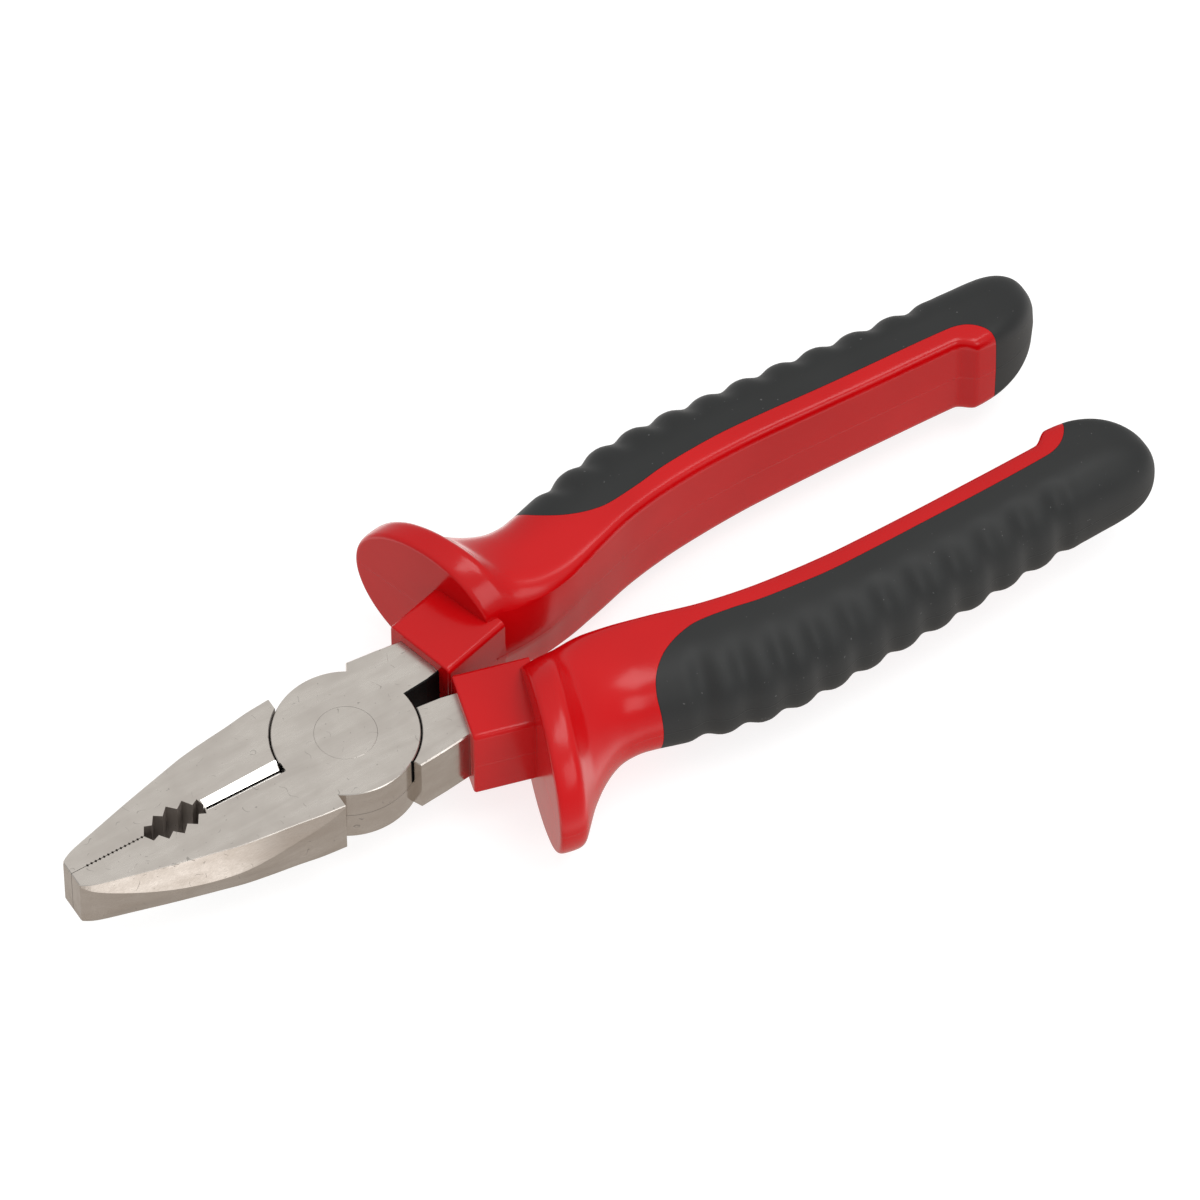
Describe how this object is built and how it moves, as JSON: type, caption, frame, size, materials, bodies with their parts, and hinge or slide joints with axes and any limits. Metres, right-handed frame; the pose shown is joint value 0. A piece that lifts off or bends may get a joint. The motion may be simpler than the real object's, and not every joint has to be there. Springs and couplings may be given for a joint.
{
  "type": "combination pliers",
  "caption": "Combination pliers with toothed jaws, pipe grip and wire cutter, and flared finger guards on soft ribbed handles.",
  "frame": {"origin": "the pivot axis where it meets the underside face of the head", "axes": "+X from the pivot towards the handles, +Z along the pivot axis and up through the head, +Y towards the handle of lever A; the jaws close on the plane Y = 0"},
  "size_m": [0.1988, 0.0682, 0.0328],
  "materials": {
    "steel": "fine ground, satin",
    "rivet_steel": "ground flush with the head",
    "hard_red": "glossy moulded",
    "soft_black": "matt soft-touch, ribbed"
  },
  "bodies": {
    "half_b": {"lever_b": "steel", "pivot_rivet": "rivet_steel", "grip_core_b": "hard_red", "grip_skin_b": "soft_black"},
    "half_a": {"lever_a": "steel", "grip_core_a": "hard_red", "grip_skin_a": "soft_black"}
  },
  "joints": [
    {"name": "pivot", "type": "hinge", "parent": "half_b", "child": "half_a", "pos_m": [0, 0, 0.0061], "axis": [0, 0, 1], "range_deg": [0, 45]}
  ]
}
